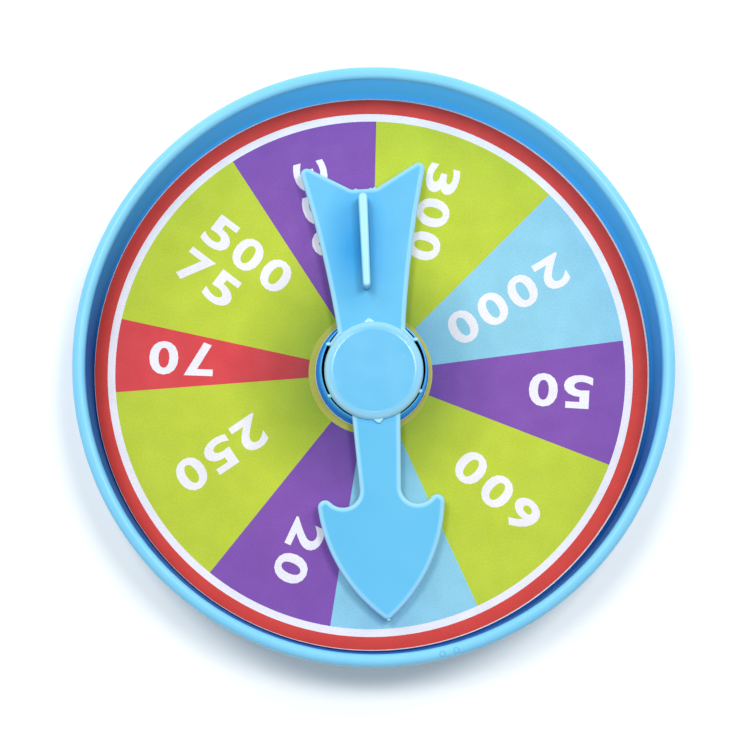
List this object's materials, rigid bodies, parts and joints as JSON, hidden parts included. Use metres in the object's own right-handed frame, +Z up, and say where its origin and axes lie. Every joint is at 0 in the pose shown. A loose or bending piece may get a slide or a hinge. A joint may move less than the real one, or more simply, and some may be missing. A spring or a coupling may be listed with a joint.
{
  "type": "game spinner",
  "caption": "Table-top game spinner: a round dished tray with a raised rim, a coloured card dial in it, and a flicked arrow with a swallow tail and finger fin that turns freely in the middle.",
  "frame": {"origin": "on the table, on the arrow's axis: the middle of the four foot pads' undersides", "axes": "+Z up out of the dial along the arrow's axis; the arrow points along -Y at rest, turned 3.2 degrees towards +X; +Y is the dial's upper edge in the picture"},
  "size_m": [0.14, 0.14, 0.023],
  "materials": {
    "tray_plastic": "light blue moulded plastic, satin gloss",
    "arrow_plastic": "light blue moulded plastic, satin gloss",
    "printed_card": "printed sheet on pale board: coloured sectors inside a white and a red ring",
    "tape": "thin double-sided tape",
    "nylon": "natural nylon",
    "steel": "bright zinc plated steel",
    "foam": "dark closed-cell foam"
  },
  "bodies": {
    "base": {"base_tray": "tray_plastic", "card_tape": "tape", "dial_card": "printed_card", "thrust_washer": "nylon", "pivot_bush": "nylon", "screw_washer": "steel", "pivot_screw": "steel", "foot_pad_1": "foam", "foot_pad_2": "foam", "foot_pad_3": "foam", "foot_pad_4": "foam"},
    "arrow": {"pointer": "arrow_plastic", "hub_cap": "arrow_plastic"}
  },
  "joints": [
    {"name": "pointer_spin", "type": "hinge", "parent": "base", "child": "arrow", "pos_m": [0, 0, 0.0074], "axis": [0, 0, 1], "continuous": true}
  ]
}
